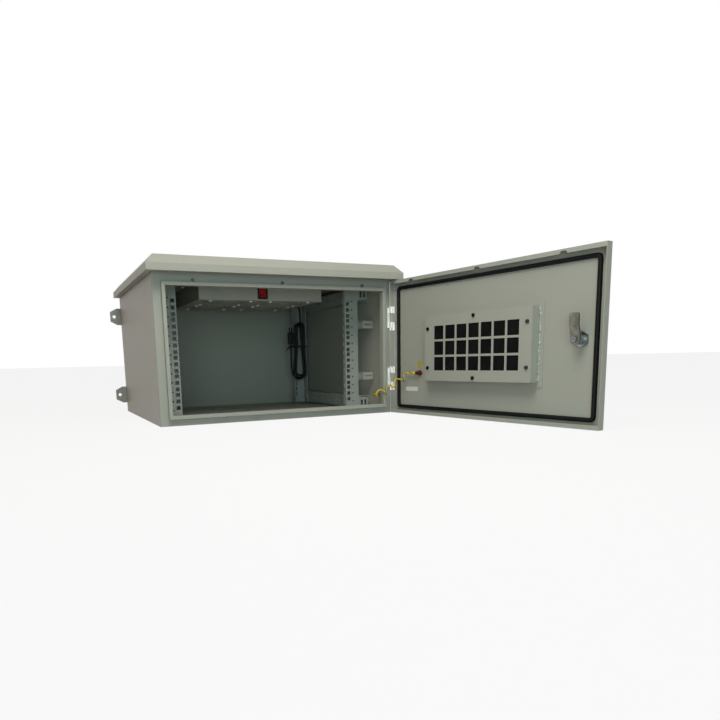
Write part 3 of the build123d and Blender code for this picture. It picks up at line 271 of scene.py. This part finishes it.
own_finish = {
    # painted glare: the hinge brackets get the whitened plate instead of plain zinc
    "hinge_brackets": painted_glare_plate,
    "lock_cam": dull_steel,
    "filter_screws": dark_steel,
    "frame_screws": dark_steel,
    "fan_screws": painted_glare_plate,
    "tray_screws": painted_glare_plate,
    "lock_nut": blue_zinc,
    "lock_rotor": dark_zinc,
}
for entry in frame["record"]["subparts"]:
    name = entry["node"]
    slot_finish = finishes.get(entry["material_slot"], finishes["zinc"])
    nodes[name].data.materials.clear()
    nodes[name].data.materials.append(own_finish.get(name, slot_finish))

# Steps along smooth lines, and the rounding of small edges
cord_line_steps = 10
tie_line_steps = 10
relief_line_steps = 40
wire_line_steps = 30
edge_segments = 2


# Helpers for new pieces
def add_piece(name, data, look):
    """A new object with its finish, in the part's own frame."""
    piece = bpy.data.objects.new(name, data)
    data.materials.append(look)
    bpy.context.scene.collection.objects.link(piece)
    return piece


def finished_mesh(name, shape, smooth=False):
    """A mesh made from a finished shape."""
    data = bpy.data.meshes.new(name)
    for face in shape.faces:
        face.smooth = smooth
    shape.to_mesh(data)
    shape.free()
    return data


def round_edges(piece, width):
    """Rounds a piece's edges by a width in millimetres."""
    edges = piece.modifiers.new("edges", "BEVEL")
    edges.width = width * MM
    edges.segments = edge_segments


def nurbs_line(name, points, look, steps):
    """A smooth open curve with these points, in millimetres, as its control points."""
    data = bpy.data.curves.new(name, "CURVE")
    data.dimensions = "3D"
    line = data.splines.new("NURBS")
    line.points.add(len(points) - 1)
    for place, point in zip(line.points, points):
        place.co = (*(Vector(point) * MM), 1.0)
    line.order_u = 3
    line.use_endpoint_u = True
    line.resolution_u = steps
    return add_piece(name, data, look)


def route_points(points, look, steps):
    """Points in metres along the smooth curve of a route."""
    curve = nurbs_line("route", points, look, steps)
    line = bpy.data.meshes.new_from_object(curve)
    found = [vertex.co.copy() for vertex in line.vertices]
    bpy.data.meshes.remove(line)
    bpy.data.objects.remove(curve)
    return found


def sections(points):
    """Along a line: each point with two directions across it that never twist."""
    across = UP
    result = []
    for i, point in enumerate(points):
        ahead = (points[min(i + 1, len(points) - 1)] - points[max(i - 1, 0)]).normalized()
        across = (across - ahead * across.dot(ahead)).normalized()
        result.append((point, across, ahead.cross(across)))
    return result


def distances(points):
    """How far along a line each of its points is."""
    ways = [0.0]
    for before, after in zip(points, points[1:]):
        ways.append(ways[-1] + (after - before).length)
    return ways


def round_tube(name, points, radii, sides, look, stripe_sides=0):
    """A closed round tube along a line, with a stripe marked on some of its sides."""
    shape = bmesh.new()
    stripe = shape.verts.layers.float.new("stripe")
    rings = []
    for (point, across, over), radius in zip(sections(points), radii):
        ring = []
        for k in range(sides):
            angle = 2 * math.pi * k / sides
            vertex = shape.verts.new(point + (across * math.cos(angle) + over * math.sin(angle)) * radius)
            vertex[stripe] = 1.0 if k < stripe_sides else 0.0
            ring.append(vertex)
        rings.append(ring)
    for near, far in zip(rings, rings[1:]):
        for k in range(sides):
            shape.faces.new((near[k - 1], near[k], far[k], far[k - 1]))
    shape.faces.new(rings[0])
    shape.faces.new(rings[-1])
    bmesh.ops.recalc_face_normals(shape, faces=shape.faces)
    return add_piece(name, finished_mesh(name, shape, smooth=True), look)


# Power cord: a lead from the fan tray, then the folds of the hank, then the plug
cord_diameter = 5.5
cord_bevel_steps = 4
fold_steps = 6
tie_z = 184.0
lead_route = [
    (177.75, 130.0, 312.5),
    (191.8, 130.0, 312.5),
    (205.2, 133.0, 309.0),
    (216.4, 137.7, 303.6),
    (223.7, 144.1, 295.7),
    (227.2, 151.2, 286.3),
    (229.6, 156.8, 276.2),
    (231.8, 160.0, 264.0),
    (234.5, 161.6, 250.0),
    (239.0, 162.0, 225.0),
]
right_waists = [(243.0, 163.0), (247.0, 174.0), (245.5, 180.0), (244.0, 186.0)]
right_feet = [(248.5, 164.5), (250.0, 170.8), (247.0, 177.0), (249.0, 183.3)]
left_feet = [(212.9, 166.0), (214.4, 172.2), (211.4, 178.4), (208.5, 184.5)]
foot_levels = [102.0, 110.0, 98.5, 104.5]
left_waists = [(221.5, 164.3), (221.0, 170.5), (219.0, 176.4)]
left_heads = [(219.9, 160.9), (216.9, 166.1), (213.9, 171.3)]
head_span = (30.8, 17.8)
head_levels = [241.5, 239.0, 236.5]
plug_route = [(204.5, 181.0, 130.0), (203.0, 176.0, 160.0), (203.0, 175.5, 190.0)]


def fold(start, end, level, side):
    """A half turn of cord between two upright strands; side is 1 for the top and -1 for the bottom."""
    first = Vector(start)
    last = Vector(end)
    middle = (first + last) / 2
    arm = (first - last) / 2
    points = []
    for i in range(fold_steps + 1):
        angle = math.pi * i / fold_steps
        flat = middle + arm * math.cos(angle)
        points.append((flat.x, flat.y, level + side * arm.length * math.sin(angle)))
    return points


hank_route = []
for turn, foot_level in enumerate(foot_levels):
    hank_route.append((*right_waists[turn], tie_z))
    hank_route += fold(right_feet[turn], left_feet[turn], foot_level, -1)
    if turn < len(left_heads):
        hank_route.append((*left_waists[turn], tie_z))
        head_x, head_y = left_heads[turn]
        head_end = (head_x + head_span[0], head_y + head_span[1])
        hank_route += fold((head_x, head_y), head_end, head_levels[turn], 1)
hank_route += plug_route
power_cord = nurbs_line("power_cord", lead_route + hank_route, finishes["cord"], cord_line_steps)
power_cord.data.bevel_depth = cord_diameter / 2 * MM
power_cord.data.bevel_resolution = cord_bevel_steps
power_cord.data.use_fill_caps = True

# Cable tie round the hank, with its head and its tail
tie_height = 4.6
tie_sheet = 1.3
tie_corner = 7.0
tie_corner_steps = 6
tie_edge_round = 0.25
tie_low = (198.8, 157.5)
tie_high = (252.8, 190.6)
tie_tail_route = [(202.0, 157.0, 184.0), (194.0, 155.5, 182.5), (187.0, 155.0, 179.0), (180.5, 155.5, 173.5)]
tie_head_size = (6.5, 5.0, 6.6)
tie_head_place = (205.0, 156.5, tie_z)
tie_head_round = 1.0
tie_head_segments = 3


def strip_ring(shape, point, ahead):
    """Four corners of the strap's section at one point of its line."""
    out = ahead.cross(UP).normalized()
    ring = []
    for side, level in [(-1, -1), (1, -1), (1, 1), (-1, 1)]:
        place = Vector(point) + out * side * tie_sheet / 2 + UP * level * tie_height / 2
        ring.append(shape.verts.new(place * MM))
    return ring


def strip(name, points, closed, look):
    """A flat strap standing on edge along a line."""
    shape = bmesh.new()
    rings = []
    count = len(points)
    for i, point in enumerate(points):
        after = points[(i + 1) % count] if closed else points[min(i + 1, count - 1)]
        before = points[i - 1] if closed else points[max(i - 1, 0)]
        rings.append(strip_ring(shape, point, (Vector(after) - Vector(before)).normalized()))
    pairs = list(zip(rings, rings[1:]))
    if closed:
        pairs.append((rings[-1], rings[0]))
    else:
        shape.faces.new(rings[0])
        shape.faces.new(reversed(rings[-1]))
    for near, far in pairs:
        for k in range(len(near)):
            shape.faces.new((near[k - 1], near[k], far[k], far[k - 1]))
    bmesh.ops.recalc_face_normals(shape, faces=shape.faces)
    piece = add_piece(name, finished_mesh(name, shape), look)
    round_edges(piece, tie_edge_round)
    return piece


band_route = []
for number, (x, y) in enumerate([(1, 1), (-1, 1), (-1, -1), (1, -1)]):
    corner_x = tie_high[0] - tie_corner if x > 0 else tie_low[0] + tie_corner
    corner_y = tie_high[1] - tie_corner if y > 0 else tie_low[1] + tie_corner
    for i in range(tie_corner_steps + 1):
        angle = math.pi / 2 * (number + i / tie_corner_steps)
        place = (corner_x + tie_corner * math.cos(angle), corner_y + tie_corner * math.sin(angle), tie_z)
        band_route.append(place)
tie_band = strip("tie_band", band_route, True, finishes["tie"])
tail_line = route_points(tie_tail_route, finishes["tie"], tie_line_steps)
tail_points = [tuple(point / MM) for point in tail_line]
tie_tail = strip("tie_tail", tail_points, False, finishes["tie"])
head_shape = bmesh.new()
bmesh.ops.create_cube(head_shape, size=1.0)
bmesh.ops.scale(head_shape, vec=Vector(tie_head_size) * MM, verts=head_shape.verts)
bmesh.ops.bevel(
    head_shape, geom=head_shape.edges, offset=tie_head_round * MM, segments=tie_head_segments, affect="EDGES"
)
bmesh.ops.translate(head_shape, vec=Vector(tie_head_place) * MM, verts=head_shape.verts)
tie_head = add_piece("tie_head", finished_mesh("tie_head", head_shape, smooth=True), finishes["tie"])
for piece in (power_cord, tie_band, tie_tail, tie_head):
    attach(piece, "cabinet")

# Tapered, ribbed strain relief where the cord leaves the tray
relief_length = 24.0
relief_start_radius = 5.0
relief_end_radius = 3.3
relief_rib = 0.5
relief_rib_pitch = 4.0
relief_sides = 20


def relief_radius(way):
    """The sleeve's radius: a taper with a rib every few millimetres."""
    share = way / (relief_length * MM)
    groove = 0.5 - 0.5 * math.cos(2 * math.pi * way / (relief_rib_pitch * MM))
    radius = relief_start_radius + (relief_end_radius - relief_start_radius) * share
    return (radius - relief_rib * groove) * MM


relief_points = route_points(lead_route, finishes["cord"], relief_line_steps)
relief_ways = [way for way in distances(relief_points) if way < relief_length * MM]
relief_radii = [relief_radius(way) for way in relief_ways]
relief_points = relief_points[:len(relief_ways)]
cord_relief = round_tube("cord_relief", relief_points, relief_radii, relief_sides, finishes["cord"])
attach(cord_relief, "cabinet")
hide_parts("cord_lead", "cord_hank")
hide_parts("cord_tie")

# Earth wire: a helix round its route, straight where it nears the cabinet's stud
wire_diameter = 4.0
wire_sides = 12
stripe_sides = 3
helix_turns = -5.0
helix_radius = 8.2
helix_phase = 240.0
helix_start_share = 0.0
helix_end_share = 0.8
helix_ease_share = 0.16
wire_route = [
    (308.1, -369.5, 102.8),
    (306.6, -359.6, 102.8),
    (299.0, -350.0, 96.5),
    (289.5, -337.5, 84.0),
    (279.0, -323.0, 70.5),
    (268.5, -308.5, 59.0),
    (259.5, -294.0, 52.0),
    (255.0, -279.0, 48.5),
    (255.5, -263.5, 46.5),
    (261.0, -248.5, 46.2),
    (270.0, -238.0, 45.0),
    (284.0, -238.0, 45.0),
]


def eased(value):
    """A smooth step from nought to one."""
    held = min(max(value, 0.0), 1.0)
    return held * held * (3.0 - 2.0 * held)


def helix_points(line):
    """Points of a helix round a line, growing out of it and back into it."""
    travelled = distances(line)
    points = []
    for (point, across, over), way in zip(sections(line), travelled):
        share = way / travelled[-1]
        opening = eased((share - helix_start_share) / helix_ease_share)
        closing = eased((helix_end_share - share) / helix_ease_share)
        turned = (share - helix_start_share) / (helix_end_share - helix_start_share)
        angle = math.radians(helix_phase) + 2 * math.pi * helix_turns * turned
        radius = helix_radius * MM * opening * closing
        points.append(point + across * radius * math.cos(angle) + over * radius * math.sin(angle))
    return points


covering = finishes["earth_insulation"]
wire_points = helix_points(route_points(wire_route, covering, wire_line_steps))
wire_radii = [wire_diameter / 2 * MM] * len(wire_points)
earth_wire = round_tube("curly_earth_wire", wire_points, wire_radii, wire_sides, covering, stripe_sides)
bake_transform(earth_wire)
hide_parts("earth_wire")

# Insulating sleeve over the door terminal's barrel
sleeve_radius = 3.3
sleeve_back = 9.5
sleeve_ahead = 1.5
wire_way = (Vector(wire_route[1]) - Vector(wire_route[0])).normalized()
sleeve_run = [(Vector(wire_route[0]) + wire_way * run) * MM for run in (-sleeve_back, 0.0, sleeve_ahead)]
sleeve_radii = [sleeve_radius * MM] * len(sleeve_run)
sleeve = round_tube("terminal_sleeve", sleeve_run, sleeve_radii, wire_sides, covering)
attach(sleeve, "door")

# Stickers on the inside of the door: a plain disc and a blank label
disc_radius = 7.2
disc_segments = 48
disc_place = (200.0, 124.0)
label_size = (46.0, 10.5)
label_place = (229.5, 63.0)
sticker_sheet = 0.3
sticker_round = 0.12


def stuck_on_door(name, shape, place, look):
    """A thin sticker laid on the door's inner skin and carried by the door."""
    lifted = bmesh.ops.extrude_face_region(shape, geom=shape.faces[:])["geom"]
    top = [vertex for vertex in lifted if isinstance(vertex, bmesh.types.BMVert)]
    bmesh.ops.translate(shape, vec=UP * sticker_sheet, verts=top)
    bmesh.ops.recalc_face_normals(shape, faces=shape.faces)
    lay = Matrix.Translation((place[0], door_skin_y, place[1])) @ Matrix.Rotation(-math.pi / 2, 4, "X")
    bmesh.ops.transform(shape, matrix=Matrix.Scale(MM, 4) @ to_door @ lay, verts=shape.verts)
    piece = add_piece(name, finished_mesh(name, shape), look)
    round_edges(piece, sticker_round)
    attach(piece, "door")


disc_shape = bmesh.new()
bmesh.ops.create_circle(disc_shape, cap_ends=True, segments=disc_segments, radius=disc_radius)
stuck_on_door("earth_disc", disc_shape, disc_place, sticker_yellow)
label_shape = bmesh.new()
bmesh.ops.create_grid(label_shape, x_segments=1, y_segments=1, size=0.5)
bmesh.ops.scale(label_shape, vec=(*label_size, 1.0), verts=label_shape.verts)
stuck_on_door("blank_label", label_shape, label_place, sticker_white)

# Uneven bead of sealant in the corner at the lock side of the filter's housing
bead_x = -152.0
bead_low_z = 87.0
bead_high_z = 234.0
bead_lift = 2.0
bead_radius = 1.7
bead_wobble = 0.6
bead_stray = 0.5
bead_steps = 140
bead_sides = 10
lump_wave = 47.0
slow_wave = 19.0
slow_wave_start = 1.0
fine_wave = 113.0
fine_wave_share = 0.5
stray_wave = 31.0
stray_wave_start = 2.0


def bead_section(share):
    """The bead's place on the closed door and its radius, a share of the way up."""
    lumps = math.sin(lump_wave * share) * math.sin(slow_wave * share + slow_wave_start)
    swell = lumps + fine_wave_share * math.sin(fine_wave * share)
    stray = math.sin(stray_wave * share + stray_wave_start)
    level = bead_low_z + (bead_high_z - bead_low_z) * share
    place = Vector((bead_x + bead_stray * stray, door_skin_y + bead_lift, level))
    return place, bead_radius + bead_wobble * swell


bead_points = []
bead_radii = []
for i in range(bead_steps + 1):
    place, radius = bead_section(i / bead_steps)
    bead_points.append(to_door @ place * MM)
    bead_radii.append(radius * MM)
bead = round_tube("sealant_bead", bead_points, bead_radii, bead_sides, sealant)
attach(bead, "door")

# Printed rack-unit marks on the front rails: a dash at each unit and a dot at its middle
rack_low_z = 26.35
rack_unit = 44.45
rack_units = 6
mark_x = 245.0
dash_size = (5.6, 2.2)
dot_size = (3.8, 3.4)
mark_sheet = 0.15
mark_y = rail_face_y - mark_sheet / 2


def mark_block(shape, middle, size):
    """One printed mark, a thin pad on the rail's face."""
    made = bmesh.ops.create_cube(shape, size=1.0)["verts"]
    bmesh.ops.scale(shape, vec=(size[0], mark_sheet, size[1]), verts=made)
    bmesh.ops.translate(shape, vec=middle, verts=made)


for side, side_name in ((-1, "left"), (1, "right")):
    marks = bmesh.new()
    for half_unit in range(2 * rack_units + 1):
        size = dot_size if half_unit % 2 else dash_size
        mark_block(marks, (side * mark_x, mark_y, rack_low_z + half_unit * rack_unit / 2), size)
    bmesh.ops.scale(marks, vec=(MM, MM, MM), verts=marks.verts)
    marks_name = f"unit_marks_{side_name}"
    piece = add_piece(marks_name, finished_mesh(marks_name, marks), finishes["switch_black"])
    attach(piece, "cabinet")

# Floor and backdrop: white to the camera, with the object's soft shadow kept
floor_half = 60.0
white_share = 0.88
ambient_colour = (1.0, 0.88, 0.75)
ambient_strength = 0.17
white = (1.0, 1.0, 1.0)


def seen_directly(tree):
    """One where the surface is seen by the camera, in a reflection or through glass."""
    path = tree.nodes.new("ShaderNodeLightPath")
    total = path.outputs["Is Camera Ray"]
    for name in ("Is Glossy Ray", "Is Transmission Ray"):
        join = tree.nodes.new("ShaderNodeMath")
        join.operation = "MAXIMUM"
        link(tree, total, join.inputs[0])
        link(tree, path.outputs[name], join.inputs[1])
        total = join.outputs[0]
    return total


floor_shape = bmesh.new()
bmesh.ops.create_grid(floor_shape, x_segments=1, y_segments=1, size=floor_half)
floor_look = finish(
    "floor", (0.58, 0.58, 0.57), (0.56, 0.56, 0.55), drift_scale=2.0, rough=(0.8, 0.9), grain_scale=50.0,
    relief=0.0, gloss=0.1,
)
floor_tree = floor_look.node_tree
floor_glow = floor_tree.nodes.new("ShaderNodeEmission")
floor_mix = floor_tree.nodes.new("ShaderNodeMixShader")
floor_part = floor_tree.nodes.new("ShaderNodeMath")
floor_part.operation = "MULTIPLY"
floor_part.inputs[1].default_value = white_share
link(floor_tree, seen_directly(floor_tree), floor_part.inputs[0])
link(floor_tree, floor_part.outputs[0], floor_mix.inputs["Fac"])
link(floor_tree, floor_tree.nodes["Principled BSDF"].outputs["BSDF"], floor_mix.inputs[1])
link(floor_tree, floor_glow.outputs["Emission"], floor_mix.inputs[2])
link(floor_tree, floor_mix.outputs["Shader"], floor_tree.nodes["Material Output"].inputs["Surface"])
floor = add_piece("floor", finished_mesh("floor", floor_shape), floor_look)

world = bpy.data.worlds.new("studio")
bpy.context.scene.world = world
world.use_nodes = True
world_tree = world.node_tree
soft_light = world_tree.nodes["Background"]
soft_light.inputs["Color"].default_value = (*ambient_colour, 1.0)
soft_light.inputs["Strength"].default_value = ambient_strength
white_back = world_tree.nodes.new("ShaderNodeBackground")
white_back.inputs["Color"].default_value = (*white, 1.0)
white_back.inputs["Strength"].default_value = 1.0
world_mix = world_tree.nodes.new("ShaderNodeMixShader")
link(world_tree, seen_directly(world_tree), world_mix.inputs["Fac"])
link(world_tree, soft_light.outputs["Background"], world_mix.inputs[1])
link(world_tree, white_back.outputs["Background"], world_mix.inputs[2])
link(world_tree, world_mix.outputs["Shader"], world_tree.nodes["World Output"].inputs["Surface"])


# Soft studio lamps
def area_light(name, place, target, size, power, colour):
    """A soft square lamp aimed at a point."""
    data = bpy.data.lights.new(name, "AREA")
    data.size = size
    data.energy = power
    data.color = colour
    lamp = bpy.data.objects.new(name, data)
    lamp.location = place
    lamp.rotation_euler = (Vector(target) - Vector(place)).to_track_quat("-Z", "Y").to_euler()
    bpy.context.scene.collection.objects.link(lamp)


area_light(
    "key", place=(-0.75, -2.3, 0.35), target=(0.1, -0.2, 0.18),
    size=0.9, power=11.5, colour=(0.75, 0.98, 1.0),
)
area_light(
    "top", place=(-0.2, -1.4, 1.9), target=(0.05, -0.3, 0.25),
    size=1.4, power=17.0, colour=(1.0, 0.97, 0.92),
)
area_light(
    "fill", place=(-0.3, -2.7, 0.12), target=(0.0, 0.1, 0.2),
    size=0.7, power=3.0, colour=(0.28, 0.86, 1.0),
)
area_light(
    "side", place=(-0.27, -1.0, 1.05), target=(0.36, -0.6, 0.18),
    size=0.5, power=6.0, colour=(1.0, 0.98, 0.91),
)
area_light(
    "warm", place=(-1.6, 0.9, 0.3), target=(-0.3, 0.0, 0.1),
    size=0.5, power=1.9, colour=(1.0, 0.48, 0.20),
)

# The camera
camera_data = bpy.data.cameras.new("camera")
camera_data.lens = camera_lens
camera_data.sensor_width = camera_sensor
camera_data.shift_x, camera_data.shift_y = camera_shift
camera = bpy.data.objects.new("camera", camera_data)
camera.location = camera_place
camera.rotation_euler = Euler([math.radians(angle) for angle in camera_turn])
bpy.context.scene.collection.objects.link(camera)
bpy.context.scene.camera = camera
bpy.context.scene.view_settings.view_transform = "Standard"
